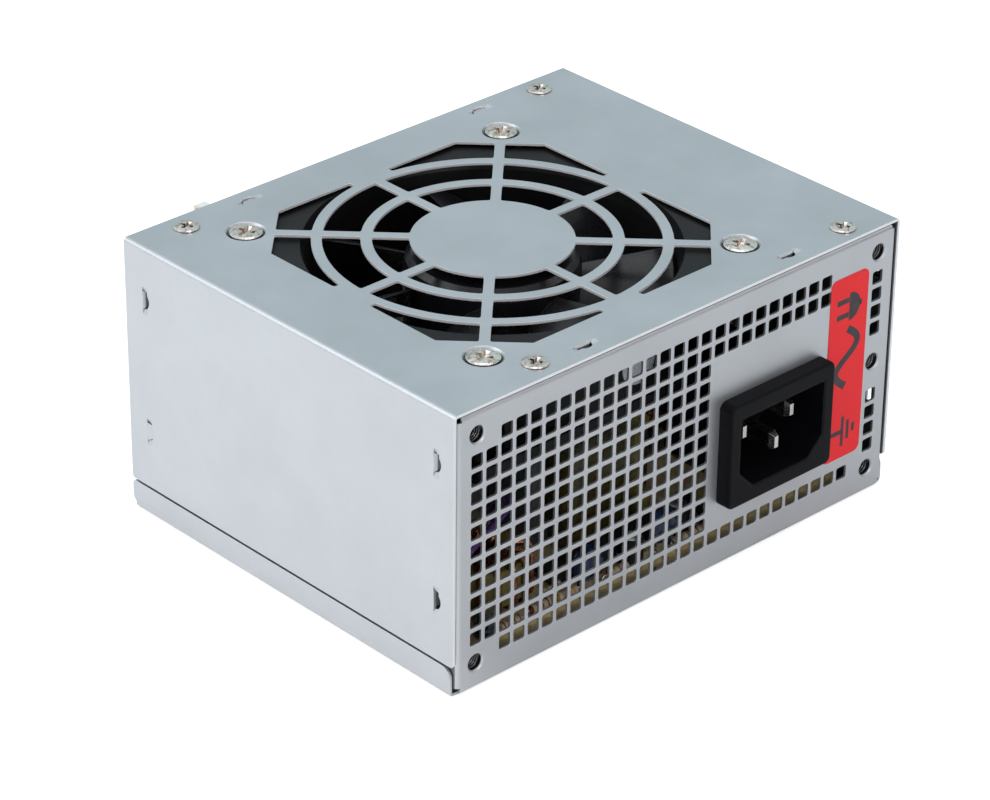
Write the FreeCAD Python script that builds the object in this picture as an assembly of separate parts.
import FreeCAD, Part
import math
import os

# Small-form-factor computer power supply with a fan in its top cover. Millimetres.
# X runs across the width and Y along the depth, both centred on the case; Z is up from the
# underside of the base. The mains inlet panel is at -Y, the cable panel at +Y.

Vec = FreeCAD.Vector
ALONG_X, ALONG_Y, UP = (1, 0, 0), (0, 1, 0), (0, 0, 1)
os.makedirs("parts", exist_ok=True)

# ---------------------------------------------------------------- driving dimensions
WIDTH, DEPTH, HEIGHT = 125.0, 100.0, 63.5
HALF_W, HALF_D = WIDTH / 2, DEPTH / 2
STEEL = 0.6                           # sheet thickness
COVER_BEND, PANEL_BEND = 1.0, 1.2     # outside bend radii
STRIP_TOP = 6.4                       # top of the base's low side strips
FLOOR_Y = HALF_D - 0.9                # half length of the floor with its strips
COVER_LOW = 7.0                       # lower edge of the cover's sides
GAP = 0.25                            # between the cover and the base's returns
PANEL_X = HALF_W - STEEL - GAP        # half width of the end panels over their side returns
PANEL_TOP = HEIGHT - STEEL - GAP
RETURN = 8.0                          # depth of the panels' inward returns

MOUNT_X, MOUNT_LOW, MOUNT_HIGH, MOUNT_MID = 56.5, 6.0, 57.5, 31.75
MOUNTS = [(x, z) for x in (-MOUNT_X, MOUNT_X) for z in (MOUNT_LOW, MOUNT_HIGH)]
MOUNTS.append((MOUNT_X, MOUNT_MID))   # (x, z) of the tapped holes in the inlet panel
MOUNT_R = 1.75
COLLAR_R, COLLAR_L = 2.75, 2.6        # collar extruded behind each tapped hole

FAN_XY = FAN_X, FAN_Y = -6.4, -0.3    # fan centre
FAN, FAN_T = 80.0, 25.0               # fan frame size and thickness
FAN_SCREW = 35.75                     # screw offset from the fan centre
FAN_SCREWS = [(FAN_X + sx * FAN_SCREW, FAN_Y + sy * FAN_SCREW)
              for sx in (-1, 1) for sy in (-1, 1)]
DISH = 0.7                            # depth of the dish pressed round each fan screw
FAN_TOP = HEIGHT - STEEL - DISH
FAN_LOW = FAN_TOP - FAN_T

BOARD_LOW, BOARD_T = 3.6, 1.6         # underside and thickness of the circuit board
BOARD_TOP = BOARD_LOW + BOARD_T       # component side
PIN_Z = BOARD_TOP + 0.02              # where leads and feet start above the board

INLET_X, INLET_Z = 25.8, 27.0         # centre of the mains inlet
EXIT_X, EXIT_Z = -50.0, 50.5          # centre of the cable exit


# ---------------------------------------------------------------- helpers
def box(x0, y0, z0, x1, y1, z1):
    """Box between two opposite corners, given in any order."""
    x0, x1 = sorted((x0, x1))
    y0, y1 = sorted((y0, y1))
    z0, z1 = sorted((z0, z1))
    return Part.makeBox(x1 - x0, y1 - y0, z1 - z0, Vec(x0, y0, z0))


def cyl(x, y, z, radius, length, axis=UP):
    return Part.makeCylinder(radius, length, Vec(x, y, z), Vec(*axis))


def ring(x, y, z, outer, inner, height):
    return cyl(x, y, z, outer, height).cut(cyl(x, y, z, inner, height))


def prism(points, dx, dy, dz):
    """Polygon through the points, extruded by (dx, dy, dz)."""
    corners = [Vec(*point) for point in points]
    return Part.Face(Part.makePolygon(corners + corners[:1])).extrude(Vec(dx, dy, dz))


def near(value, target, tolerance=0.01):
    return abs(value - target) < tolerance


def fillet_at(shape, radius, test):
    """Fillet every edge that passes the test."""
    edges = [edge for edge in shape.Edges if test(edge)]
    if not edges:
        return shape
    # The kernel may refuse to fillet all the edges at once; then each is tried by itself.
    try:
        out = shape.makeFillet(radius, edges)
        if out.isValid() and out.Volume > 0:
            return out
    except Exception:
        pass
    done = shape
    for edge in edges:
        middle = edge.CenterOfMass
        same = [other for other in done.Edges if (other.CenterOfMass - middle).Length < 1e-4]
        # An edge that can't be filleted stays sharp.
        try:
            out = done.makeFillet(radius, same)
            if out.isValid() and out.Volume > 0:
                done = out
        except Exception:
            pass
    return done


def along(edge, axis):
    """True for a straight edge parallel to the named axis."""
    bounds = edge.BoundBox
    spans = {"x": bounds.XLength, "y": bounds.YLength, "z": bounds.ZLength}
    return spans.pop(axis) > 1e-3 and all(span < 1e-4 for span in spans.values())


def rounded_box(x0, y0, z0, x1, y1, z1, radius, axis="z"):
    """Box with the four edges along one axis rounded."""
    return fillet_at(box(x0, y0, z0, x1, y1, z1), radius, lambda edge: along(edge, axis))


def soft_box(x0, y0, z0, x1, y1, z1, radius):
    """Box with every edge rounded."""
    return fillet_at(box(x0, y0, z0, x1, y1, z1), radius, lambda edge: True)


def sheet(outline, plane, low, high):
    """A bent-sheet section swept straight along the axis normal to its plane."""
    reach = high - low
    if plane == "xz":
        return prism([(a, low, b) for a, b in outline], 0, reach, 0)
    if plane == "yz":
        return prism([(low, a, b) for a, b in outline], reach, 0, 0)
    return prism([(a, b, low) for a, b in outline], 0, 0, reach)


def bend(shape, plane, spots, radius):
    """Round the edges that cross the section's plane at the given spots."""
    axis = {"xz": "y", "yz": "x", "xy": "z"}[plane]

    def at_spot(edge):
        middle = edge.CenterOfMass
        u, v = (getattr(middle, name) for name in plane)
        return along(edge, axis) and any(near(u, a, 0.02) and near(v, b, 0.02)
                                         for a, b in spots)
    return fillet_at(shape, radius, at_spot)


def channel(rim_z, web_z, inner_z, half_length):
    """Three-sided sheet as wide as the case: a flat web with a wall at each side."""
    inner_x = HALF_W - STEEL
    shape = sheet([(-HALF_W, rim_z), (-HALF_W, web_z), (HALF_W, web_z), (HALF_W, rim_z),
                   (inner_x, rim_z), (inner_x, inner_z), (-inner_x, inner_z),
                   (-inner_x, rim_z)], "xz", -half_length, half_length)
    shape = bend(shape, "xz", [(-HALF_W, web_z), (HALF_W, web_z)], COVER_BEND)
    return bend(shape, "xz", [(-inner_x, inner_z), (inner_x, inner_z)], COVER_BEND - STEEL)


def revolve(profile, x, y, z=0.0, axis=UP):
    """Profile points (radius, height) turned about an axis along Z or Y."""
    base, axis = Vec(x, y, z), Vec(*axis)
    points = [base + Vec(radius, 0, 0) + axis * height for radius, height in profile]
    return Part.Face(Part.makePolygon(points + points[:1])).revolve(base, axis, 360)


def fuse(items):
    return items[0].multiFuse(items[1:]).removeSplitter()


def comp(items):
    """Flat compound of the items' solids."""
    flat = []
    for item in items:
        flat += item.Solids if item.ShapeType in ("Compound", "CompSolid") else [item]
    return Part.makeCompound(flat)


def turned(shape, angle, x, y):
    """Copy turned about the vertical through (x, y)."""
    copy = shape.copy()
    copy.rotate(Vec(x, y, 0), Vec(*UP), angle)
    return copy


def wire(points, wire_r, radii=None, share=0.48):
    """Round wire through the points, with an arc at each inner point.
    A bend takes up at most the given share of the run at either side of it."""
    spots = [Vec(*point) for point in points]
    radii = radii or [4.0] * (len(spots) - 2)
    edges, reached = [], spots[0]
    for before, corner, after, radius in zip(spots, spots[1:], spots[2:], radii):
        back_dir, next_dir = before - corner, after - corner
        back_run, next_run = back_dir.Length, next_dir.Length
        back_dir.normalize()
        next_dir.normalize()
        angle = math.acos(max(-1.0, min(1.0, back_dir.dot(next_dir))))
        if math.pi - angle < math.radians(1.0):
            continue
        setback = min(radius / math.tan(angle / 2), share * back_run, share * next_run)
        radius = setback * math.tan(angle / 2)
        start, end = corner + back_dir * setback, corner + next_dir * setback
        inward = back_dir + next_dir
        inward.normalize()
        middle = corner + inward * (radius / math.sin(angle / 2) - radius)
        if (start - reached).Length > 1e-6:
            edges.append(Part.makeLine(reached, start))
        edges.append(Part.Arc(start, middle, end).toShape())
        reached = end
    edges.append(Part.makeLine(reached, spots[-1]))
    section = Part.Wire([Part.Circle(spots[0], spots[1] - spots[0], wire_r).toShape()])
    return Part.Wire(edges).makePipeShell([section], True, False).Solids[0]


def rounded_rectangle(x, y, z, half_x, half_z, radius):
    """Closed wire in the XZ plane, centred on (x, z)."""
    inset = radius * (1 - math.sqrt(0.5))
    corners = []
    for sx, sz in ((1, 1), (-1, 1), (-1, -1), (1, -1)):
        side = Vec(x + sx * half_x, y, z + sz * (half_z - radius))
        level = Vec(x + sx * (half_x - radius), y, z + sz * half_z)
        middle = Vec(x + sx * (half_x - inset), y, z + sz * (half_z - inset))
        corners.append((side, middle, level) if sx == sz else (level, middle, side))
    edges, reached = [], corners[-1][2]
    for first, middle, last in corners:
        edges += [Part.makeLine(reached, first), Part.Arc(first, middle, last).toShape()]
        reached = last
    return Part.Wire(edges)


def stadium(x, z, wide, tall, y0, y1):
    """Upright oblong with round ends, extruded along Y."""
    radius = wide / 2
    offset = tall / 2 - radius
    shape = box(x - radius, y0, z - offset, x + radius, y1, z + offset)
    for end_z in (z + offset, z - offset):
        shape = shape.fuse(cyl(x, y0, end_z, radius, y1 - y0, ALONG_Y))
    return shape.removeSplitter()


def inlet_outline(x, wide, tall, chamfer, y0, y1):
    """Inlet outline with its two lower corners cut off, extruded along Y."""
    x0, x1, z0, z1 = x - wide / 2, x + wide / 2, INLET_Z - tall / 2, INLET_Z + tall / 2
    return prism([(x0, y0, z1), (x0, y0, z0 + chamfer), (x0 + chamfer, y0, z0),
                  (x1 - chamfer, y0, z0), (x1, y0, z0 + chamfer), (x1, y0, z1)],
                 0, y1 - y0, 0)


def pin(x, y, top, radius=0.35):
    """Round lead standing on the board."""
    return cyl(x, y, PIN_Z, radius, top - BOARD_TOP)


def export(name, shape):
    """Write one piece, a shape or a list of shapes, to its STEP file."""
    if isinstance(shape, list):
        shape = comp(shape)
    if shape.ShapeType == "Compound" and len(shape.Solids) == 1:
        shape = shape.Solids[0]
    shape.exportStep("parts/%s.step" % name)


# ---------------------------------------------------------------- screws
CASE_SCREW = dict(head_r=2.8, head_h=0.55, dome=0.3, thread_r=1.5, core_r=1.22, length=4.6,
                  pitch=0.5, arm=1.65)
FAN_SCREW_SIZE = dict(head_r=3.5, head_h=1.0, dome=0.42, thread_r=2.1, core_r=1.6, length=8.5,
                      pitch=1.25, arm=2.25)
BOARD_SCREW = dict(head_r=2.9, head_h=1.7, dome=0.7, thread_r=1.5, core_r=1.22, pitch=0.5,
                   arm=1.6)
DEVICE_SCREW = dict(head_r=2.7, head_h=1.5, dome=0.6, thread_r=1.25, core_r=1.1, length=5.0,
                    pitch=0.5, arm=1.5)


def cross_recess(arm, wide, deep):
    """Tapering cross, sunk below the origin."""
    bars = []
    for angle in (20, 110):
        bar = prism([(-arm, 0, 0.05), (arm, 0, 0.05), (arm * 0.62, 0, -deep * 0.55),
                     (0.28, 0, -deep), (-0.28, 0, -deep), (-arm * 0.62, 0, -deep * 0.55)],
                    0, wide, 0)
        bar.translate(Vec(0, -wide / 2, 0))
        bar.rotate(Vec(0, 0, 0), Vec(*UP), angle)
        bars.append(bar)
    return bars[0].fuse(bars[1])


def screw(x, y, z, axis=UP, *, head_r, head_h, dome, thread_r, core_r, length, pitch, arm):
    """Machine screw: head seated at (x, y, z) facing along axis, shank running back."""
    profile = [(0, head_h), (head_r * 0.55, head_h - dome * 0.12),
               (head_r * 0.86, head_h - dome * 0.55), (head_r, head_h - dome),
               (head_r, 0.08), (head_r - 0.08, 0.0), (core_r, 0.0)]
    depth = -0.2
    while depth - pitch > -length + 0.4:
        profile += [(core_r, depth), (thread_r, depth - pitch * 0.42),
                    (thread_r, depth - pitch * 0.58), (core_r, depth - pitch * 0.98)]
        depth -= pitch
    profile += [(core_r, -length + 0.4), (core_r * 0.55, -length), (0, -length)]
    recess = cross_recess(arm, 0.5 * arm, min(1.4, head_h + 0.7))
    recess.translate(Vec(0, 0, head_h))
    shape = revolve(profile, 0, 0).cut(recess)
    turn = FreeCAD.Rotation(Vec(*UP), Vec(*axis))
    shape.Placement = FreeCAD.Placement(Vec(x, y, z), turn).multiply(shape.Placement)
    return shape


# ---------------------------------------------------------------- base tray
STANDOFFS = [(-54.0, -33.0), (50.0, -33.0), (-55.7, 39.5), (54.0, 39.5)]
EARTH_POST = STANDOFFS[1]
CASE_SCREWS = [(-36.5, -44.7), (50.3, -45.1), (-50.0, 45.0), (50.0, 45.3)]
# half-moon tabs: x, y (top) or y, z (both sides); side the arc faces along Y; inward tilt, degrees
TOP_LANCES = [(-24.3, -45.1, -1, 74), (33.2, -45.1, -1, 70), (-32.3, 45.3, 1, 15),
              (33.2, 45.6, 1, 15)]
SIDE_LANCES = [(-44.3, 51.3, -1, 52), (-44.3, 20.4, -1, 76), (44.3, 51.3, -1, 64),
               (44.3, 20.4, -1, 20)]
# square vent holes, in rows counted down from the top
VENT_PITCH_X, VENT_PITCH_Z = 2 * MOUNT_X / 29, 4.0
VENT_HALF, VENT_CORNER = 1.53, 0.5
VENT_COLUMNS = {0: range(2, 26), 1: range(0, 26), 12: range(2, 28)}   # the other rows have 0-16
VENT_EDGE_ROWS = (1, 2, 3, 4, 8, 9, 10, 11)                           # rows with a hole at +X


def tapped_hole(x, z):
    """Cutter for a mounting hole with a rolled mouth, entering along +Y."""
    flare, depth = 0.4, 0.5
    return revolve([(0, -0.1), (MOUNT_R + flare, -0.1), (MOUNT_R + flare, 0.0),
                    (MOUNT_R + flare * 0.45, depth * 0.3),
                    (MOUNT_R + flare * 0.12, depth * 0.72), (MOUNT_R, depth),
                    (MOUNT_R, 6.0), (0, 6.0)], x, -HALF_D, z, ALONG_Y)


def vent_cuts():
    cells = []
    for row in range(13):
        z = MOUNT_MID + (6 - row) * VENT_PITCH_Z
        for column in VENT_COLUMNS.get(row, range(17)):
            cells.append((-MOUNT_X + column * VENT_PITCH_X, z))
        if row in VENT_EDGE_ROWS:
            cells.append((MOUNT_X, z))
    return [Part.Face(rounded_rectangle(x, -HALF_D - 0.1, z, VENT_HALF, VENT_HALF, VENT_CORNER))
            .extrude(Vec(0, STEEL + 0.2, 0)) for x, z in cells]


def floor_and_strips():
    return fillet_at(channel(STRIP_TOP, 0, STEEL, FLOOR_Y), 2.4, lambda edge: along(edge, "x")
                     and near(edge.CenterOfMass.z, STRIP_TOP)
                     and edge.CenterOfMass.y < -FLOOR_Y + 0.01)


def end_panels():
    """Floor, both end panels and their top returns, bent from one sheet."""
    half_width = PANEL_X - PANEL_BEND
    lip, wall, top = HALF_D - RETURN, HALF_D - STEEL, PANEL_TOP - STEEL
    shape = sheet([(-lip, PANEL_TOP), (-HALF_D, PANEL_TOP), (-HALF_D, 0), (HALF_D, 0),
                   (HALF_D, PANEL_TOP), (lip, PANEL_TOP), (lip, top), (wall, top),
                   (wall, STEEL), (-wall, STEEL), (-wall, top), (-lip, top)],
                  "yz", -half_width, half_width)
    outer = [(side * HALF_D, z) for side in (-1, 1) for z in (0, PANEL_TOP)]
    inner = [(side * wall, z) for side in (-1, 1) for z in (STEEL, top)]
    shape = bend(shape, "yz", outer, PANEL_BEND)
    return bend(shape, "yz", inner, PANEL_BEND - STEEL)


def strip_end(side):
    """Extension of a side strip towards the cable panel."""
    shape = box(side * (HALF_W - STEEL), FLOOR_Y - 1.5, 1.3,
                side * HALF_W, HALF_D - 0.1, STRIP_TOP)
    shape = fillet_at(shape, 0.8, lambda edge: along(edge, "x")
                      and edge.CenterOfMass.y > FLOOR_Y and edge.CenterOfMass.z > 3)
    return fillet_at(shape, 1.6, lambda edge: along(edge, "x")
                     and edge.CenterOfMass.y > FLOOR_Y and edge.CenterOfMass.z < 3)


def corner_return(sx, sy):
    """Upright return at one corner, bent inward from an end panel."""
    low = 1.7
    overlap_x = PANEL_X - PANEL_BEND - 0.3
    lip, wall = HALF_D - RETURN, HALF_D - STEEL
    outline = [(PANEL_X, lip), (PANEL_X, HALF_D), (overlap_x, HALF_D), (overlap_x, wall),
               (PANEL_X - STEEL, wall), (PANEL_X - STEEL, lip)]
    shape = sheet([(sx * x, sy * y) for x, y in outline], "xy", low, PANEL_TOP - PANEL_BEND)
    shape = bend(shape, "xy", [(sx * PANEL_X, sy * HALF_D)], PANEL_BEND)
    shape = bend(shape, "xy", [(sx * (PANEL_X - STEEL), sy * wall)], PANEL_BEND - STEEL)
    return fillet_at(shape, 2.2, lambda edge: near(edge.CenterOfMass.z, low)
                     and near(abs(edge.CenterOfMass.y), lip) and along(edge, "x"))


def lance_clearances():
    """Rounded openings in the returns that the cover's tabs reach into."""
    half, corner = 3.0, 0.8
    cuts = []
    for x, y, facing, _ in TOP_LANCES:
        cuts.append(rounded_box(x - half, y - facing * 0.9, PANEL_TOP - STEEL - 0.2,
                                x + half, y + facing * 2.1, PANEL_TOP + 0.2, corner))
    for y, z, facing, _ in SIDE_LANCES:
        reach = 2.1 if y < 0 else 3.4
        for sx in (-1, 1):
            cuts.append(rounded_box(sx * (PANEL_X - STEEL - 0.2), y - facing * 0.9, z - half,
                                    sx * (PANEL_X + 0.2), y + facing * reach, z + half,
                                    corner, "x"))
    return cuts


def base_tray():
    parts = [floor_and_strips(), end_panels()]
    parts += [strip_end(side) for side in (-1, 1)]
    parts += [corner_return(sx, sy) for sx in (-1, 1) for sy in (-1, 1)]
    # collars rolled inward behind the tapped holes and the cover screw holes
    parts += [cyl(x, -HALF_D + STEEL - 0.05, z, COLLAR_R, COLLAR_L, ALONG_Y)
              for x, z in MOUNTS]
    parts += [cyl(x, y, PANEL_TOP - STEEL - 1.3, 2.2, 1.35) for x, y in CASE_SCREWS]
    shape = fuse(parts)
    cuts = [tapped_hole(x, z) for x, z in MOUNTS]
    cuts += [cyl(x, y, PANEL_TOP - 4, 1.52, 5) for x, y in CASE_SCREWS]
    cuts += lance_clearances()
    cuts += [cyl(x, y, -0.1, 1.52, 1.0) for x, y in STANDOFFS]
    cuts.append(inlet_outline(INLET_X, 27.3, 20.6, 3.4, -HALF_D - 0.1, -HALF_D + STEEL + 0.1))
    # cable exit and a row of louvre slots in the cable panel
    through = HALF_D - STEEL - 0.1, HALF_D + 0.1
    cuts.append(stadium(EXIT_X, EXIT_Z, 8.8, 18.4, *through))
    cuts += [stadium(-18.0 + n * 7.5, 27.0, 3.0, 24.0, *through) for n in range(9)]
    return shape.cut(cuts + vent_cuts())


export("base_tray", base_tray())

# ---------------------------------------------------------------- top cover with its fan grille
HUB_R = 17.0
RINGS = [(24.7, 27.0), (34.9, 37.1)]      # inner and outer radius of each grille ring
SPOKE_W = 2.2
GRILLE_HALF, GRILLE_DIAG = 38.3, 44.6     # centre to the octagon's square and diagonal sides
LANCE_L, LANCE_W = 4.3, 2.05


def fan_wedge(z, half_angle, reach, height):
    """Triangular prism opening from the fan centre along +X."""
    spread = reach * math.tan(math.radians(half_angle))
    return prism([(FAN_X, FAN_Y, z), (FAN_X + reach, FAN_Y - spread, z),
                  (FAN_X + reach, FAN_Y + spread, z)], 0, 0, height)


def grille_cuts():
    low, high = HEIGHT - STEEL - 0.1, HEIGHT + 0.1
    half = GRILLE_HALF
    short = GRILLE_DIAG * math.sqrt(2) - half
    octagon = [(half, -short), (half, short), (short, half), (-short, half),
               (-half, short), (-half, -short), (-short, -half), (short, -half)]
    opening = prism([(FAN_X + x, FAN_Y + y, low) for x, y in octagon], 0, 0, high - low)
    opening = opening.cut(cyl(*FAN_XY, low - 1, HUB_R, 3))
    for inner, outer in RINGS:
        opening = opening.cut(ring(*FAN_XY, low - 1, outer, inner, 3))
    for n in range(4):
        spoke = box(FAN_X - 60, FAN_Y - SPOKE_W / 2, low - 1,
                    FAN_X + 60, FAN_Y + SPOKE_W / 2, high + 1)
        opening = opening.cut(turned(spoke, 45 * n, *FAN_XY))
    # solid lands outside the larger ring, at the middle of the square sides
    for n in range(4):
        land = fan_wedge(low - 1, 8.0, 60, 3).cut(cyl(*FAN_XY, low - 2, RINGS[1][1] - 0.05, 6))
        opening = opening.cut(turned(land, 90 * n, *FAN_XY))
    return [fillet_at(hole, 0.55, lambda edge: along(edge, "z")) for hole in opening.Solids]


def half_moon(length, width, height):
    """Slab with its straight edge on the X axis and its arc towards +Y."""
    half = length / 2
    arc = Part.Arc(Vec(half, 0, 0), Vec(0, width, 0), Vec(-half, 0, 0)).toShape()
    line = Part.makeLine(Vec(-half, 0, 0), Vec(half, 0, 0))
    return Part.Face(Part.Wire([arc, line])).extrude(Vec(0, 0, height))


def lance(place, hinge, outward, inward, tilt):
    """Half-moon tab pressed into the case: the opening to cut and the bent tab to add.
    The three directions are the hinge edge, the way the arc faces, and into the case."""
    opening = half_moon(LANCE_L, LANCE_W, STEEL + 0.4)
    opening.translate(Vec(0, 0, -0.2))
    ramps = []
    for side in (-1, 1):
        near_x, far_x = side * (LANCE_L / 2 - 1.0), side * (LANCE_L / 2 + 1.15)
        ramps.append(prism([(near_x, -0.1, -0.02), (far_x, -0.1, -0.02),
                            (near_x, -0.1, STEEL + 0.02)], 0, LANCE_W * 0.78, 0))
    opening = opening.fuse(ramps[0]).fuse(ramps[1])
    tab = half_moon(LANCE_L - 0.24, LANCE_W - 0.12, STEEL)
    tab.rotate(Vec(0, 0, 0), Vec(*ALONG_X), tilt)
    tab.translate(Vec(0, -0.02, 0))
    rows = [value for row in zip(hinge, outward, inward, place) for value in row]
    matrix = FreeCAD.Matrix(*rows, 0, 0, 0, 1)
    return opening.transformGeometry(matrix), tab.transformGeometry(matrix)


def top_cover():
    cover = channel(COVER_LOW, HEIGHT, HEIGHT - STEEL, HALF_D - 0.03)
    cover = fillet_at(cover, 0.8, lambda edge: along(edge, "x")
                      and near(edge.CenterOfMass.z, COVER_LOW))
    cuts, adds = grille_cuts(), []
    dish = [(2.3, -DISH), (3.7, -DISH), (4.15, -0.12), (4.3, 0), (4.42, 0), (4.42, -STEEL),
            (3.95, -STEEL - 0.1), (3.5, -DISH - STEEL), (2.3, -DISH - STEEL)]
    for x, y in FAN_SCREWS:
        cuts.append(cyl(x, y, HEIGHT - STEEL - 0.2, 4.3, STEEL + 0.4))
        adds.append(revolve(dish, x, y, HEIGHT))
    cuts += [cyl(x, y, HEIGHT - 2, 1.65, 3) for x, y in CASE_SCREWS]
    lances = [lance((x, y, HEIGHT), ALONG_X, (0, facing, 0), (0, 0, -1), tilt)
              for x, y, facing, tilt in TOP_LANCES]
    lances += [lance((sx * HALF_W, y, z), UP, (0, facing, 0), (-sx, 0, 0), tilt)
               for y, z, facing, tilt in SIDE_LANCES for sx in (-1, 1)]
    for opening, tab in lances:
        cuts.append(opening)
        adds.append(tab)
    return fuse([cover.cut(cuts)] + adds)


export("top_cover", top_cover())
export("cover_screws", [screw(x, y, HEIGHT + 0.01, **CASE_SCREW) for x, y in CASE_SCREWS])
export("fan_screws", [screw(x, y, HEIGHT - DISH + 0.01, **FAN_SCREW_SIZE)
                      for x, y in FAN_SCREWS])

# ---------------------------------------------------------------- fan
DUCT_R = 38.2
HUB_OUT, HUB_IN = 18.4, 17.0              # impeller hub radii
ROTOR_TOP, ROTOR_LOW = FAN_TOP - 1.2, FAN_LOW + 5.2
YOKE_LOW, YOKE_TOP = ROTOR_LOW + 1.0, ROTOR_TOP - 3.6
SHAFT_LOW = FAN_LOW + 2.6
BLADES = 7
# blade sections: radius, chord, pitch in degrees, camber
BLADE_STATIONS = [(17.5, 14.5, 50.0, 1.3), (28.0, 20.0, 40.0, 1.6), (40.0, 27.0, 32.0, 1.6)]


def fan_frame():
    half, flange = FAN / 2, 3.8
    parts = [rounded_box(FAN_X - half, FAN_Y - half, z, FAN_X + half, FAN_Y + half, z + flange,
                         4.0) for z in (FAN_LOW, FAN_TOP - flange)]
    parts.append(cyl(*FAN_XY, FAN_LOW, half - 0.25, FAN_T))
    # ribs joining the flanges near each corner
    rib = box(FAN_X + 40.0, FAN_Y - 0.8, FAN_LOW + 1, FAN_X + 47.0, FAN_Y + 0.8, FAN_TOP - 1)
    parts += [turned(rib, 45 + 90 * n + 6, *FAN_XY) for n in range(4)]
    frame = fuse(parts).cut(cyl(*FAN_XY, FAN_LOW - 1, DUCT_R, FAN_T + 2))
    # the duct widens towards the cover
    frame = frame.cut(revolve([(0, FAN_TOP - 4.5), (DUCT_R, FAN_TOP - 4.5),
                               (DUCT_R + 0.35, FAN_TOP - 2), (DUCT_R + 1.2, FAN_TOP + 0.1),
                               (0, FAN_TOP + 0.1)], *FAN_XY))
    frame = frame.cut([cyl(x, y, FAN_LOW - 1, 2.15, FAN_T + 2) for x, y in FAN_SCREWS])
    # motor plate, bearing tube and four struts
    hub = [cyl(*FAN_XY, FAN_LOW, 17.2, 2.0), cyl(*FAN_XY, FAN_LOW + 1.5, 3.85, 17.0)]
    strut = prism([(FAN_X + x, FAN_Y + y, FAN_LOW)
                   for x, y in ((12, 9.0), (12, 12.2), (38.8, 3.2), (38.8, -0.2))], 0, 0, 3.2)
    hub += [turned(strut, 45 + 90 * n, *FAN_XY) for n in range(4)]
    return fuse([frame] + hub).cut(cyl(*FAN_XY, FAN_LOW + 2.0, 2.62, 20))


def blade_section(radius, chord, pitch, camber):
    """Closed aerofoil wire in the plane x = radius."""
    slope = math.radians(pitch)
    rise = chord * math.sin(slope)
    middle_z = (ROTOR_LOW + 0.6 + ROTOR_TOP - 1.8) / 2
    lead = 0.16 * (radius - 17.5)
    normal_y, normal_z = -math.sin(slope), math.cos(slope)
    upper, lower = [], []
    for k in range(7):
        station = -0.5 + k / 6.0
        fullness = 1 - (2 * station) ** 2
        thick = 0.95 * fullness ** 0.5 * 0.9 + 0.22
        y = chord * station * math.cos(slope) + normal_y * camber * fullness + lead
        z = chord * station * math.sin(slope) + normal_z * camber * fullness
        z = max(-rise / 2 - 0.5, min(rise / 2 + 0.9, z))
        for side, points in ((1, upper), (-1, lower)):
            points.append(Vec(radius, y + side * normal_y * thick / 2,
                              middle_z + z + side * normal_z * thick / 2))
    upper_curve, lower_curve = Part.BSplineCurve(), Part.BSplineCurve()
    upper_curve.interpolate(upper)
    lower_curve.interpolate(lower[::-1])
    return Part.Wire([upper_curve.toShape(), Part.makeLine(upper[-1], lower[-1]),
                      lower_curve.toShape(), Part.makeLine(lower[0], upper[0])])


def fan_impeller():
    top = ROTOR_TOP
    hub = revolve([(0, top), (13.5, top), (16.8, top - 0.5), (18.0, top - 1.6),
                   (HUB_OUT, top - 3.2), (HUB_OUT, ROTOR_LOW), (HUB_IN, ROTOR_LOW),
                   (HUB_IN, top - 3.4), (16.0, top - 1.7), (3.2, top - 1.7), (3.2, top - 4.4),
                   (1.52, top - 4.4), (1.52, top - 1.2), (0, top - 1.2)], *FAN_XY)
    blade = Part.makeLoft([blade_section(*row) for row in BLADE_STATIONS], True, False)
    # trim the root to the hub and the tip to a cylinder
    blade = blade.common(ring(0, 0, 0, 37.3, HUB_OUT - 0.5, 80)).Solids[0]
    blade.translate(Vec(*FAN_XY, 0))
    return fuse([hub] + [turned(blade, 360.0 / BLADES * n, *FAN_XY) for n in range(BLADES)])


def rotor_yoke():
    return revolve([(3.4, YOKE_TOP), (16.2, YOKE_TOP), (16.95, YOKE_TOP - 0.7),
                    (16.95, YOKE_LOW), (16.2, YOKE_LOW), (16.2, YOKE_TOP - 0.8),
                    (3.4, YOKE_TOP - 0.8)], *FAN_XY)


def fan_shaft():
    low, top = SHAFT_LOW, ROTOR_TOP
    return revolve([(0, low), (1.3, low), (1.5, low + 0.2), (1.5, low + 0.8), (1.15, low + 0.8),
                    (1.15, low + 1.15), (1.5, low + 1.15), (1.5, top - 1.35),
                    (1.35, top - 1.22), (0, top - 1.22)], *FAN_XY)


def shaft_clip():
    clip = ring(*FAN_XY, SHAFT_LOW + 0.83, 2.3, 1.17, 0.28)
    return clip.cut(box(FAN_X - 0.35, FAN_Y, SHAFT_LOW, FAN_X + 0.35, FAN_Y + 3, SHAFT_LOW + 2))


def fan_bearing():
    low, top = SHAFT_LOW + 1.6, FAN_LOW + 18.4
    return revolve([(1.54, low), (2.4, low), (2.6, low + 0.2), (2.6, top - 0.2), (2.4, top),
                    (1.54, top)], *FAN_XY)


def stator_core():
    """Four poles with curved shoes round a centre ring."""
    low, top = FAN_LOW + 9.5, FAN_LOW + 15.0
    parts = [cyl(*FAN_XY, low, 6.2, top - low)]
    pole = box(FAN_X + 4, FAN_Y - 1.5, low, FAN_X + 12.6, FAN_Y + 1.5, top)
    shoe = ring(*FAN_XY, low, 14.2, 12.2, top - low).common(fan_wedge(low - 1, 36, 20, 10))
    for n in range(4):
        parts += [turned(pole, 90 * n, *FAN_XY), turned(shoe, 90 * n, *FAN_XY)]
    return fuse(parts).cut(cyl(*FAN_XY, low - 1, 3.88, 20))


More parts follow.
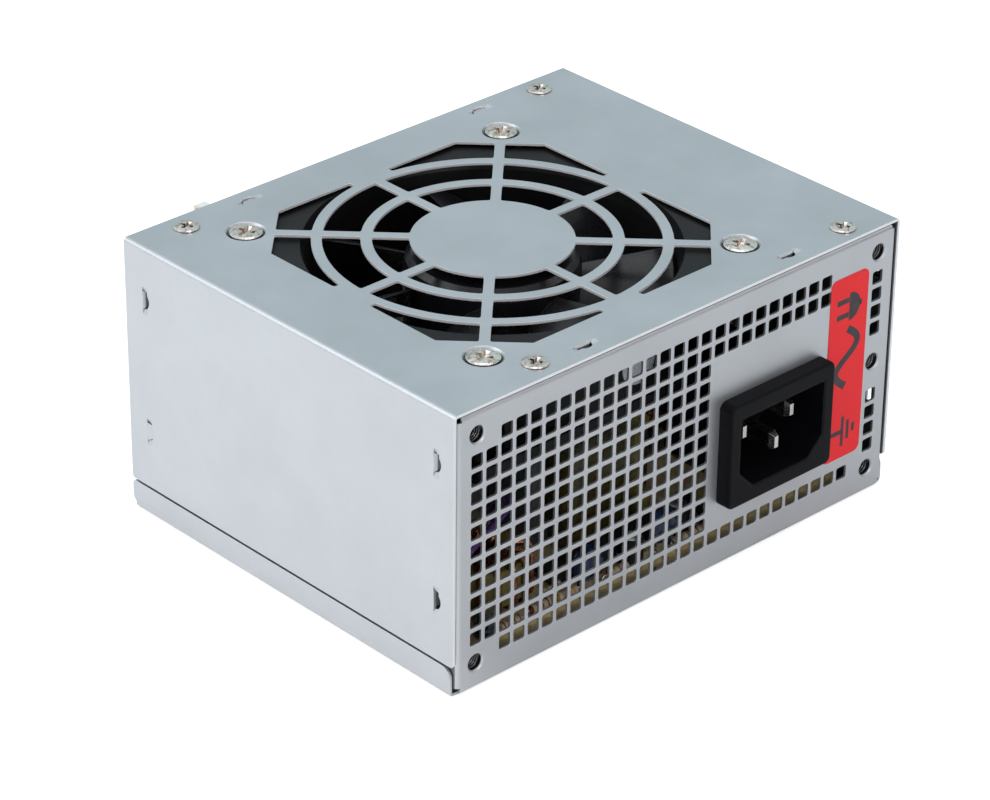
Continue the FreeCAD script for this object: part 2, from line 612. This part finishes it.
def fan_coils():
    coil = rounded_box(FAN_X + 6.7, FAN_Y - 3.4, FAN_LOW + 7.6,
                       FAN_X + 11.55, FAN_Y + 3.4, FAN_LOW + 16.9, 1.2, "x")
    coil = coil.cut(box(FAN_X + 6, FAN_Y - 1.6, FAN_LOW + 9.35,
                        FAN_X + 13, FAN_Y + 1.6, FAN_LOW + 15.15))
    return [turned(coil, 90 * n, *FAN_XY) for n in range(4)]


def fan_circuit_board():
    disc = ring(*FAN_XY, FAN_LOW + 3.4, 14.6, 4.1, 1.2)
    return disc.cut(box(FAN_X - 20, FAN_Y + 11.0, FAN_LOW + 3,
                        FAN_X + 20, FAN_Y + 20, FAN_LOW + 6))


export("fan_frame", fan_frame())
export("fan_impeller", fan_impeller())
export("fan_rotor_yoke", rotor_yoke())
export("fan_magnet_ring", ring(*FAN_XY, YOKE_LOW + 0.6, 16.15, 14.6, YOKE_TOP - YOKE_LOW - 2.2))
export("fan_shaft", fan_shaft())
export("fan_shaft_clip", shaft_clip())
export("fan_bearing", fan_bearing())
export("fan_stator_core", stator_core())
export("fan_coils", fan_coils())
export("fan_circuit_board", fan_circuit_board())

# flat two-core lead, from the fan board under the blades, down to its plug
LEAD_X, LEAD_Z = FAN_X - 34.6, FAN_LOW + 3.95


def fan_lead_core(y):
    return wire([(FAN_X - 14.8, y, LEAD_Z), (FAN_X - 22, y, LEAD_Z - 0.1),
                 (FAN_X - 29, y, LEAD_Z - 0.5), (FAN_X - 32.6, y, LEAD_Z - 2.2),
                 (LEAD_X, y, FAN_LOW - 3.0), (LEAD_X + 0.2, y, 28), (LEAD_X - 0.4, y, 20),
                 (LEAD_X, y, 14.2)], 0.6)


def fan_plug():
    plug = soft_box(LEAD_X - 2.2, FAN_Y - 3.0, BOARD_TOP + 1.6,
                    LEAD_X + 2.2, FAN_Y + 3.0, BOARD_TOP + 7.4, 0.4)
    plug = plug.fuse(box(LEAD_X + 2.0, FAN_Y - 1.0, BOARD_TOP + 2.4,
                         LEAD_X + 2.9, FAN_Y + 1.0, BOARD_TOP + 6.6)).removeSplitter()
    header = soft_box(LEAD_X - 2.8, FAN_Y - 3.4, PIN_Z,
                      LEAD_X + 2.4, FAN_Y + 3.4, BOARD_TOP + 1.5, 0.3)
    return [plug, header]


export("fan_lead", [fan_lead_core(FAN_Y + offset) for offset in (-0.62, 0.62)])
export("fan_plug", fan_plug())
export("inspection_sticker", cyl(-3.4, FAN_Y - FAN / 2 + 0.24, 49.2, 4.5, 0.1, (0, -1, 0)))

# ---------------------------------------------------------------- mains inlet
INLET_Y = -HALF_D                         # outer face of the inlet panel
CAVITY_X = INLET_X - 0.1
LIVE_X, NEUTRAL_X = INLET_X - 7.1, INLET_X + 6.9
LINE_Z, EARTH_Z = INLET_Z + 2.0, INLET_Z - 2.0
BLADE_PLACES = [(LIVE_X, LINE_Z), (NEUTRAL_X, LINE_Z), (CAVITY_X, EARTH_Z)]


def inlet_housing():
    bezel_y = INLET_Y - 3.5
    bezel = rounded_box(INLET_X - 15.35, bezel_y, INLET_Z - 12.1,
                        INLET_X + 15.35, INLET_Y, INLET_Z + 12.1, 1.6, "y")
    bezel = fillet_at(bezel, 0.6, lambda edge: near(edge.CenterOfMass.y, bezel_y))
    shape = bezel.fuse(inlet_outline(INLET_X, 27.0, 20.2, 3.4, INLET_Y - 0.5, INLET_Y + 17.0))
    # snap latches gripping behind the panel
    for side in (-1, 1):
        x, low = INLET_X + side * 13.5, INLET_Z - 5
        latch_y = INLET_Y + STEEL + 0.1
        shape = shape.fuse(prism([(x - side * 0.3, latch_y, low), (x + side * 1.1, latch_y, low),
                                  (x - side * 0.3, INLET_Y + 6.0, low)], 0, 0, 10))
    shape = shape.removeSplitter()
    cavity = inlet_outline(CAVITY_X, 24.5, 16.8, 4.2, INLET_Y - 3.6, INLET_Y + 12.5)
    shape = shape.cut(fillet_at(cavity, 0.7, lambda edge: along(edge, "y")))
    # stepped mouth
    shape = shape.cut(inlet_outline(CAVITY_X, 25.3, 17.6, 4.4, bezel_y, INLET_Y - 3.4))
    for x, z in BLADE_PLACES:
        shape = shape.cut(box(x - 1.03, INLET_Y + 12, z - 2.03, x + 1.03, INLET_Y + 18, z + 2.03))
    return shape


def contact_blade(x, z, tip_y):
    """Flat contact with a tapered tip and a pierced solder tab at the inner end."""
    half_x, half_z, taper_y = 1.0, 2.0, tip_y + 1.4
    blade = box(x - half_x, taper_y, z - half_z, x + half_x, INLET_Y + 17.5, z + half_z)
    ends = []
    for a, b, y in ((half_x, half_z, taper_y), (0.52, 1.3, tip_y)):
        ends.append(Part.makePolygon([Vec(x - a, y, z - b), Vec(x + a, y, z - b),
                                      Vec(x + a, y, z + b), Vec(x - a, y, z + b),
                                      Vec(x - a, y, z - b)]))
    blade = blade.fuse(Part.makeLoft(ends, True, True))
    tab = box(x - 0.4, INLET_Y + 17.4, z - half_z, x + 0.4, INLET_Y + 24.5, z + half_z)
    tab = fillet_at(tab, 1.2, lambda edge: along(edge, "x")
                    and edge.CenterOfMass.y > INLET_Y + 24)
    tab = tab.cut(cyl(x - 1, INLET_Y + 21.5, z, 0.75, 2, ALONG_X))
    return blade.fuse(tab).removeSplitter()


export("inlet_housing", inlet_housing())
export("inlet_blades", [contact_blade(x, z, INLET_Y + 0.5) for x, z in BLADE_PLACES[:2]])
export("inlet_earth_blade", contact_blade(*BLADE_PLACES[2], INLET_Y - 2.0))
export("voltage_label", rounded_box(42.3, INLET_Y - 0.11, 11.8, 53.7, INLET_Y - 0.01, 55.2,
                                    1.7, "y"))

MAINS_WIRE_R = 1.0
TAB_Y = INLET_Y + 22.4                    # where the wires leave the solder tabs
export("live_wire", wire([
    (LIVE_X - 1.45, TAB_Y, LINE_Z), (LIVE_X - 1.6, TAB_Y + 3.5, INLET_Z + 1.0),
    (LIVE_X - 3.0, TAB_Y + 6.0, INLET_Z - 5), (LIVE_X - 3.4, TAB_Y + 5.0, 16),
    (LIVE_X - 3.4, TAB_Y + 4.4, BOARD_TOP + 0.1)], MAINS_WIRE_R))
export("neutral_wire", wire([
    (NEUTRAL_X + 1.45, TAB_Y, LINE_Z), (NEUTRAL_X + 1.6, TAB_Y + 3.5, INLET_Z + 1.0),
    (NEUTRAL_X + 1.2, TAB_Y + 6.5, INLET_Z - 5), (NEUTRAL_X + 0.8, TAB_Y + 6.2, 16),
    (NEUTRAL_X + 0.8, TAB_Y + 5.8, BOARD_TOP + 0.1)], MAINS_WIRE_R))
export("earth_wire", wire([
    (INLET_X + 1.35, TAB_Y, EARTH_Z), (INLET_X + 1.9, TAB_Y - 1.9, INLET_Z - 7.0),
    (INLET_X + 5.2, TAB_Y - 2.7, 13.0), (38.0, -31.0, BOARD_TOP + 2.9),
    (44.0, -32.6, BOARD_TOP + 1.55), (45.6, -33.0, BOARD_TOP + 1.3)], MAINS_WIRE_R))
export("earth_terminal", ring(*EARTH_POST, PIN_Z, 3.4, 1.7, 0.7).fuse(
    box(45.6, -34.0, PIN_Z, 47.4, -32.0, PIN_Z + 0.7)).removeSplitter())


# ---------------------------------------------------------------- board, insulation and fixings
def main_board():
    """Rectangle with both corners at the inlet panel notched."""
    board = box(-59.4, -46.4, BOARD_LOW, 59.4, 46.0, BOARD_TOP)
    for side in (-1, 1):
        board = board.cut(box(side * 51.6, -47, BOARD_LOW - 1, side * 60, -38.6, BOARD_TOP + 1))
    board = board.cut([cyl(x, y, BOARD_LOW - 1, 1.7, 4) for x, y in STANDOFFS])
    return fillet_at(board, 1.0, lambda edge: along(edge, "z")
                     and abs(edge.CenterOfMass.x) > 50)


def standoff(x, y):
    """Hexagonal pillar with a spigot in the floor and a threaded bore."""
    radius = 5.5 / math.sqrt(3)
    corners = [(x + radius * math.cos(math.radians(60 * k)),
                y + radius * math.sin(math.radians(60 * k)), STEEL + 0.02) for k in range(6)]
    post = prism(corners, 0, 0, BOARD_LOW - STEEL - 0.04)
    post = post.fuse(cyl(x, y, 0.05, 1.5, 1.0)).removeSplitter()
    return post.cut(cyl(x, y, 0, 1.28, 9)).cut(cyl(x, y, 1.0, 1.52, 9))


def board_screw(x, y):
    # the earth terminal lifts one screw
    z = BOARD_TOP + (0.75 if (x, y) == EARTH_POST else 0.03)
    return screw(x, y, z, length=z - 1.5, **BOARD_SCREW)


def insulation_sheet():
    """Thin sheet under the board, turned up along both ends."""
    half_x, half_y, low = 58.5, 45.8, STEEL + 0.05
    shape = box(-half_x, -half_y, low, half_x, half_y, STEEL + 0.35)
    for side in (-1, 1):
        shape = shape.fuse(box(-half_x, side * (half_y - 0.3), low,
                               half_x, side * half_y, BOARD_LOW - 0.5))
    cuts = [cyl(x, y, 0, 3.7, 2) for x, y in STANDOFFS]
    cuts += [box(side * 51.0, -50, 0, side * 60, -38, 9) for side in (-1, 1)]
    return shape.removeSplitter().cut(cuts)


export("main_board", main_board())
export("board_standoffs", [standoff(x, y) for x, y in STANDOFFS])
export("board_screws", [board_screw(x, y) for x, y in STANDOFFS])
export("insulation_sheet", insulation_sheet())

# ---------------------------------------------------------------- mains side
FUSE_X0, FUSE_X1, FUSE_Y, FUSE_Z = 13.0, 33.0, -42.6, BOARD_TOP + 3.6
FUSE_CAP_L = 5.0


def fuse_cap(x):
    cap = cyl(x, FUSE_Y, FUSE_Z, 2.6, FUSE_CAP_L, ALONG_X)
    cap = fillet_at(cap, 0.3, lambda edge: True)
    return cap.fuse(pin(x + FUSE_CAP_L / 2, FUSE_Y, FUSE_Z, 0.4)).removeSplitter()


export("fuse_tube", cyl(FUSE_X0 + FUSE_CAP_L + 0.1, FUSE_Y, FUSE_Z, 2.45,
                        FUSE_X1 - FUSE_X0 - 2 * FUSE_CAP_L - 0.2, ALONG_X))
export("fuse_caps", [fuse_cap(x) for x in (FUSE_X0, FUSE_X1 - FUSE_CAP_L)])

WINDING_GAP = 0.12                        # between a winding and the core inside it


def line_choke(x, y, low, wide, deep, tall, leg):
    """Square ferrite ring standing on the board, with a winding on each upright leg."""
    top = low + tall
    core = box(x - wide / 2, y - deep / 2, low, x + wide / 2, y + deep / 2, top)
    core = core.cut(box(x - wide / 2 + leg, y - deep / 2 - 1, low + leg,
                        x + wide / 2 - leg, y + deep / 2 + 1, top - leg))
    core = fillet_at(core, 0.6, lambda edge: along(edge, "y")
                     and abs(edge.CenterOfMass.x - x) > wide / 2 - 0.1)
    outer = leg / 2 + 2.3
    coil_low, coil_top = low + leg + 0.3, top - leg - 0.3
    count = int((coil_top - coil_low) / 1.1)
    pitch = (coil_top - coil_low) / count
    profile = [(outer - 0.9, coil_low)]
    for k in range(count):
        profile += [(outer - 0.12, coil_low + pitch * (k + 0.12)),
                    (outer, coil_low + pitch * (k + 0.5)),
                    (outer - 0.12, coil_low + pitch * (k + 0.88)),
                    (outer - 0.35, coil_low + pitch * (k + 1))]
    profile[-1] = (outer - 0.9, coil_top)
    profile += [(0, coil_top), (0, coil_low)]
    half_x, half_y = leg / 2 + WINDING_GAP, deep / 2 + WINDING_GAP
    coils = []
    for side in (-1, 1):
        leg_x = x + side * (wide / 2 - leg / 2)
        coils.append(revolve(profile, leg_x, y).cut(
            box(leg_x - half_x, y - half_y, low, leg_x + half_x, y + half_y, top)))
    return core, coils


core, windings = line_choke(22.2, -9.7, BOARD_TOP + 1.0, wide=20.0, deep=4.6, tall=19.0, leg=4.2)
export("line_choke_core", core)
export("line_choke_windings", windings)
export("x_capacitor", fuse([
    soft_box(12.5, -3.6, BOARD_TOP + 0.6, 31.5, 4.4, BOARD_TOP + 15.5, 0.8),
    pin(16, 0.4, BOARD_TOP + 2), pin(28, 0.4, BOARD_TOP + 2)]))


def disc_part(x, y, z, radius, thick, spread):
    """Dipped disc standing on two leads, its axis along Y."""
    half = thick / 2
    rim = [(radius - half * 0.9, half), (radius - half * 0.25, half * 0.7),
           (radius, half * 0.1)]
    profile = [(0, -half)] + [(r, -h) for r, h in rim] + rim[::-1] + [(0, half)]
    disc = revolve(profile, x, y, z, ALONG_Y)
    return fuse([disc] + [pin(x + side * spread, y, z) for side in (-1, 1)])


def bridge_rectifier():
    body = soft_box(38.0, 31.0, BOARD_TOP + 2.6, 58.0, 34.4, BOARD_TOP + 19.6, 0.5)
    body = body.cut(cyl(48, 30, BOARD_TOP + 15.5, 1.6, 6, ALONG_Y))
    return fuse([body] + [box(39.6 + 5.2 * k, 32.2, PIN_Z, 40.8 + 5.2 * k, 33.0,
                              BOARD_TOP + 3.0) for k in range(4)])


export("y_capacitors", [disc_part(x, y, BOARD_TOP + 5.4, 4.0, 3.0, 2.5)
                        for x, y in ((-19.5, -43.3), (2.0, -43.0), (4.6, 22.0))])
export("inrush_thermistor", disc_part(38.6, -25.6, BOARD_TOP + 8.0, 5.6, 4.2, 3.0))
export("bridge_rectifier", bridge_rectifier())


def capacitor(x, y, radius, height):
    """Aluminium can inside a shrunk sleeve. Returns can and sleeve."""
    low = BOARD_TOP + 0.05
    top = low + height
    metal = radius - 0.3
    can = revolve([(0, low), (radius - 0.55, low), (metal, low + 0.3), (metal, low + 2.0),
                   (radius - 0.8, low + 2.5), (metal, low + 3.0), (metal, top - 0.8),
                   (radius - 0.75, top - 0.2), (radius * 0.7, top - 0.1), (0, top - 0.1)], x, y)
    # crossed grooves in the top
    groove = box(x - radius * 0.7, y - 0.15, top - 0.35, x + radius * 0.7, y + 0.15, top + 1)
    for angle in (30, 120):
        can = can.cut(turned(groove, angle, x, y))
    inner = radius - 0.27
    sleeve = revolve([(inner, low + 0.4), (radius, low + 0.4), (radius, low + 2.0),
                      (radius - 0.45, low + 2.5), (radius, low + 3.0), (radius, top - 0.5),
                      (radius - 0.5, top + 0.05), (radius * 0.78, top + 0.05),
                      (radius * 0.78, top - 0.07), (radius - 0.65, top - 0.13),
                      (inner, top - 0.7), (inner, low + 3.0), (radius - 0.77, low + 2.5),
                      (inner, low + 2.0)], x, y)
    return can, sleeve


def export_capacitors(name, table):
    cans, sleeves = zip(*(capacitor(*row) for row in table))
    export(name + "_cans", list(cans))
    export(name + "_sleeves", list(sleeves))


# x, y, radius, height
export_capacitors("bulk_capacitor", [(47.6, -10.6, 11.0, 37.0), (47.6, 13.2, 11.0, 37.0)])

# ---------------------------------------------------------------- heatsinks and their devices
SINK_LOW, SINK_TOP, SINK_T = BOARD_TOP + 2.0, 35.4, 2.6
PRIMARY_X, SECONDARY_X = 14.6, -26.4      # -X faces of the plates
SECONDARY_FACE = SECONDARY_X + SINK_T     # devices stand on this face and on PRIMARY_X
DEVICE_Z = BOARD_TOP + 18.5               # height of the device screws
PRIMARY_YS, SECONDARY_YS = (18.0, 32.0), (-9.0, 6.0, 21.0)


def heatsink(x, y0, y1, side, reach, hole_x, hole_ys):
    """Upright plate with horizontal fins, the last along its top, all on one side.
    The screw holes start at hole_x."""
    parts = [box(x, y0, SINK_LOW, x + SINK_T, y1, SINK_TOP)]
    fin_x = x + (0 if side < 0 else SINK_T) + side * reach
    for z in (SINK_LOW + 9, SINK_LOW + 14, SINK_LOW + 19, SINK_TOP - 1.6):
        parts.append(box(x + SINK_T / 2, y0, z, fin_x, y1, z + 1.4))
    legs = [box(x + 0.6, y, PIN_Z, x + 2.0, y + 2.0, SINK_LOW + 0.5) for y in (y0 + 3, y1 - 5)]
    shape = fuse([fuse(parts)] + legs)
    return shape.cut([cyl(hole_x, y, DEVICE_Z, 1.3, 12, ALONG_X) for y in hole_ys])


def power_device(x, y, side):
    """Three-legged package bolted flat to a plate at x; side is the side it stands on."""
    near_x = x + side * 0.05
    body = soft_box(near_x, y - 5.1, BOARD_TOP + 5.0, x + side * 4.55, y + 5.1,
                    BOARD_TOP + 14.4, 0.35)
    tab = box(near_x, y - 5.1, BOARD_TOP + 14.2, x + side * 1.35, y + 5.1, BOARD_TOP + 21.0)
    tab = tab.cut(cyl(x - 6, y, DEVICE_Z, 1.7, 12, ALONG_X))
    leg_x = x + side * 2.4
    legs = [box(leg_x - 0.3, y + k * 2.54 - 0.4, PIN_Z,
                leg_x + 0.3, y + k * 2.54 + 0.4, BOARD_TOP + 5.3) for k in (-1, 0, 1)]
    return fuse([body, tab] + legs)


def device_screw(x, y, side):
    return screw(x + side * 1.42, y, DEVICE_Z, (side, 0, 0), **DEVICE_SCREW)


PRIMARY = [(PRIMARY_X, y, -1) for y in PRIMARY_YS]
SECONDARY = [(SECONDARY_FACE, y, 1) for y in SECONDARY_YS]
export("primary_heatsink", heatsink(PRIMARY_X, 10.0, 42.0, 1, 12.0, 10, PRIMARY_YS))
export("secondary_heatsink", heatsink(SECONDARY_X, -16.0, 34.0, -1, 10.5, -30, SECONDARY_YS))
export("switching_transistors", [power_device(*place) for place in PRIMARY])
export("output_rectifiers", [power_device(*place) for place in SECONDARY])
export("device_screws", [device_screw(*place) for place in PRIMARY + SECONDARY])


# ---------------------------------------------------------------- transformers
def transformer(x, y, low, wide, deep, tall, leg, coil_x, coil_y):
    """Ferrite core with two windows round a taped winding on a footed bobbin."""
    top = low + tall
    core = box(x - wide / 2, y - deep / 2, low, x + wide / 2, y + deep / 2, top)
    for side in (-1, 1):
        core = core.cut(box(x + side * leg, y - deep, low + leg,
                            x + side * (wide / 2 - leg), y + deep, top - leg))
    core = fillet_at(core, 0.7, lambda edge: along(edge, "y")
                     and abs(edge.CenterOfMass.x - x) > wide / 2 - 0.1)
    coil_low, coil_top = low + leg + 0.2, top - leg - 0.2
    half_x, half_y = coil_x / 2, coil_y / 2
    coil = rounded_box(x - half_x, y - half_y, coil_low + 1.2,
                       x + half_x, y + half_y, coil_top - 1.2, 3.0)
    for z in (coil_low, coil_top - 1.3):
        coil = coil.fuse(rounded_box(x - half_x - 0.35, y - half_y - 0.8, z,
                                     x + half_x + 0.35, y + half_y + 0.8, z + 1.3, 2.0))
    for side in (-1, 1):
        y0, y1 = y + side * (deep / 2 + 0.4), y + side * (half_y + 0.8)
        coil = coil.fuse(box(x - half_x - 0.3, y0, BOARD_TOP + 0.8,
                             x + half_x + 0.3, y1, coil_low + 0.2))
        for k in range(4):
            coil = coil.fuse(cyl(x - half_x + 1.6 + k * (coil_x - 3.2) / 3, (y0 + y1) / 2,
                                 PIN_Z, 0.4, 1.2))
    bore_x, bore_y = leg + WINDING_GAP, deep / 2 + WINDING_GAP
    coil = coil.removeSplitter().cut(
        box(x - bore_x, y - bore_y, low, x + bore_x, y + bore_y, top))
    return core, coil


for name, sizes in (
        ("main", dict(x=-3.0, y=-20.5, low=BOARD_TOP + 1.6, wide=34.0, deep=12.0, tall=27.0,
                      leg=4.4, coil_x=22.6, coil_y=23.6)),
        ("drive", dict(x=-5.0, y=4.0, low=BOARD_TOP + 1.2, wide=19.0, deep=5.4, tall=15.5,
                       leg=2.5, coil_x=12.6, coil_y=13.0))):
    core, coil = transformer(**sizes)
    export(name + "_transformer_core", core)
    export(name + "_transformer_winding", coil)

# ---------------------------------------------------------------- output side
CHOKE = -38.6, -31.2, BOARD_TOP + 6.6     # centre of the toroid
TURN_IN, TURN_OUT, TURN_HALF_H = 4.45, 10.75, 4.95   # centreline of one turn
TURN_CORNER, TURN_WIRE_R = 1.2, 0.68


def output_choke_winding():
    """Closed turns of wire round the toroid's section, one step short of a full circle."""
    path = rounded_rectangle((TURN_IN + TURN_OUT) / 2, 0, 0, (TURN_OUT - TURN_IN) / 2,
                             TURN_HALF_H, TURN_CORNER)
    start = Vec(TURN_OUT, 0, -TURN_HALF_H + TURN_CORNER)
    section = Part.Wire([Part.Circle(start, Vec(*UP), TURN_WIRE_R).toShape()])
    single = path.makePipeShell([section], True, False)
    turns = []
    for n in range(17):
        copy = turned(single, 20.0 * n + 10, 0, 0)
        copy.translate(Vec(*CHOKE))
        turns.append(copy)
    return turns


export("output_choke_core", revolve([(5.6, -4.2), (9.6, -4.2), (10.0, -3.8), (10.0, 3.8),
                                     (9.6, 4.2), (5.6, 4.2), (5.2, 3.8), (5.2, -3.8)], *CHOKE))
export("output_choke_winding", output_choke_winding())
export_capacitors("output_capacitor", [
    (-53.0, -16.0, 5.0, 20.0), (-53.0, -4.5, 5.0, 20.0), (-53.0, 7.0, 5.0, 20.0),
    (-47.4, -43.2, 2.6, 6.0), (-33.6, -11.5, 4.0, 10.4), (-33.4, 12.0, 4.0, 10.4),
    (-33.4, 22.0, 4.0, 10.4), (-10.0, 30.0, 5.0, 18.0)])


# ---------------------------------------------------------------- cable exit and output harness
def cable_grommet():
    """Flanges on both faces of the panel, joined by a neck, with a rounded slot."""
    outer_y, inner_y = HALF_D + 1.7, HALF_D - STEEL
    shape = stadium(EXIT_X, EXIT_Z, 11.4, 21.0, HALF_D + 0.05, outer_y)
    shape = fillet_at(shape, 0.7, lambda edge: near(edge.CenterOfMass.y, outer_y))
    shape = shape.fuse(stadium(EXIT_X, EXIT_Z, 8.6, 18.2, inner_y - 0.1, HALF_D + 0.1))
    shape = shape.fuse(stadium(EXIT_X, EXIT_Z, 11.4, 21.0, inner_y - 1.5, inner_y - 0.05))
    return shape.removeSplitter().cut(rounded_box(
        EXIT_X - 2.1, HALF_D - 5, EXIT_Z - 7.0, EXIT_X + 2.1, HALF_D + 5, EXIT_Z + 7.0,
        1.4, "y"))


export("cable_grommet", cable_grommet())

WIRE_R = 0.9                              # radius over insulation
ROW_PITCH, LAYER = 1.95, 0.98             # row spacing; offset of each layer from the middle
RISE_Y, RISE_Z = 45.5, 41.5               # centre of the bends from the board to the exit
RUN_OUT, RUN_R = 3.0, 5.4                 # straight run out of the panel, then its bend
DOWN_X, DOWN_Z = -31.0, 40.5              # centre of the bends down to the plug
PLUG_X, PLUG_PITCH = -33.0, 4.2
PLUG_Y = HALF_D + RUN_OUT + RUN_R
PLUG_LOW, PLUG_TOP = 5.0, 20.0
SOCKET_Y = 2.1                            # offset of each socket row
# colours of layer -1 and layer 1, from row 6 at the top to row 0
ROW_COLOURS = [("yellow", "yellow"), ("black", "yellow"), ("red", "black"), ("red", "black"),
               ("orange", "orange"), ("black", "orange"), ("violet", "black")]
OUTPUT_WIRES = [(layer, row, colour)
                for row, colours in zip(range(6, -1, -1), ROW_COLOURS)
                for layer, colour in zip((-1, 1), colours)]


def plug_entry(layer, row):
    return PLUG_X + PLUG_PITCH * (row + 1.5), PLUG_Y - layer * SOCKET_Y


def output_wire(layer, row):
    """Up from the board, out of the panel, round along +X and down to the plug."""
    x, z = EXIT_X + layer * LAYER, EXIT_Z + (row - 3) * ROW_PITCH
    rise_r, run_r, down_r = z - RISE_Z, RUN_R - layer * LAYER, z - DOWN_Z
    y, down_x = HALF_D + RUN_OUT + run_r, DOWN_X + down_r
    plug_x, plug_y = plug_entry(layer, row)
    points = [(x, RISE_Y - rise_r, BOARD_TOP + 0.1), (x, RISE_Y - rise_r, z), (x, y, z),
              (down_x, y, z), (down_x, y, DOWN_Z - 1.5 - (6 - row) * 0.55),
              (plug_x, plug_y, PLUG_TOP + 3.5), (plug_x, plug_y, PLUG_TOP - 2.0)]
    return wire(points, WIRE_R, [rise_r, run_r, down_r, 3.0, 3.0], share=math.inf)


groups = {}
for layer, row, colour in OUTPUT_WIRES:
    groups.setdefault(colour, []).append(output_wire(layer, row))
# thinner violet wire arching behind the vent holes and over the toroid, both ends on the board
groups["violet"].append(wire([
    (-50.2, -37.6, BOARD_TOP + 0.1), (-50.9, -37.9, 12), (-50.6, -38.2, 18.5),
    (-47.6, -38.7, 23), (-42.0, -38.4, 25.5), (-35.0, -36.0, 26.5), (-29.5, -30.0, 24.0),
    (-28.2, -23.0, 17.0), (-28.6, -19.5, 10.5), (-28.8, -19.0, BOARD_TOP + 0.1)], 0.8))
for colour, wires in groups.items():
    export("output_wires_%s" % colour, wires)


def motherboard_plug():
    """Two rows of twelve square sockets, and a latch arm on the +Y side."""
    x1, y1 = PLUG_X + PLUG_PITCH * 12 + 0.4, PLUG_Y + 4.8
    body = soft_box(PLUG_X, PLUG_Y - 4.8, PLUG_LOW, x1, y1, PLUG_TOP, 0.5)
    cuts = []
    for k in range(12):
        for side in (-1, 1):
            x, y = PLUG_X + 2.3 + PLUG_PITCH * k, PLUG_Y + side * SOCKET_Y
            cuts.append(box(x - 1.35, y - 1.35, PLUG_LOW - 1, x + 1.35, y + 1.35, PLUG_LOW + 9))
    for layer, row, _ in OUTPUT_WIRES:
        cuts.append(cyl(*plug_entry(layer, row), PLUG_TOP - 3.0, WIRE_R + 0.1, 5))
    body = body.cut(cuts)
    x0, x1 = (PLUG_X + x1) / 2 - 4, (PLUG_X + x1) / 2 + 4
    latch = box(x0, y1 + 1.2, PLUG_LOW + 1.0, x1, y1 + 2.4, PLUG_TOP - 1.0)
    latch = latch.fuse(box(x0, y1 - 0.3, PLUG_LOW + 7, x1, y1 + 2.4, PLUG_LOW + 9))
    latch = latch.fuse(box(x0, y1 + 0.5, PLUG_LOW + 1.0, x1, y1 + 1.4, PLUG_LOW + 2.4))
    return body.fuse(latch).removeSplitter()


export("motherboard_plug", motherboard_plug())

TIE_W = 2.5


def tie_along_x(x, y, z, half_y, half_z):
    """Cable tie round wires that run along X."""
    thick = 0.7
    out_y, out_z = half_y + thick, half_z + thick
    band = rounded_box(x - TIE_W / 2, y - out_y, z - out_z,
                       x + TIE_W / 2, y + out_y, z + out_z, 1.0, "x")
    band = band.cut(rounded_box(x - TIE_W, y - half_y, z - half_z,
                                x + TIE_W, y + half_y, z + half_z, 0.5, "x"))
    face = y + half_y
    head = soft_box(x - 2.1, face + 0.6, z - 5.4, x + 2.1, face + 4.0, z - 0.6, 0.4)
    tail = box(x - 1.1, face + 1.4, z - 8.2, x + 1.1, face + 2.3, z - 5.2)
    return fuse([band, head, tail])


def tie_along_z(x, y, z, half_x, half_y):
    """Cable tie round wires that run along Z."""
    thick = 1.0
    out_x, out_y = half_x + thick, half_y + thick
    band = rounded_box(x - out_x, y - out_y, z - TIE_W / 2,
                       x + out_x, y + out_y, z + TIE_W / 2, 1.0)
    band = band.cut(rounded_box(x - half_x, y - half_y, z - TIE_W,
                                x + half_x, y + half_y, z + TIE_W, 0.5))
    face = y + half_y
    head = soft_box(x - 2.4, face + 0.6, z - 2.1, x + 2.4, face + 4.0, z + 2.1, 0.4)
    tail = box(x + 2.2, face + 1.4, z - 1.1, x + 5.2, face + 2.3, z + 1.1)
    return fuse([band, head, tail])


BUNDLE_HALF, BUNDLE_THIN = 3 * ROW_PITCH + WIRE_R, LAYER + WIRE_R
export("cable_ties", [
    tie_along_x(-34.0, PLUG_Y, EXIT_Z, BUNDLE_THIN + 0.06, BUNDLE_HALF + 0.06),
    tie_along_z(DOWN_X + EXIT_Z - DOWN_Z, PLUG_Y, DOWN_Z - 0.3,
                BUNDLE_HALF + 0.5, BUNDLE_THIN + 0.3)])
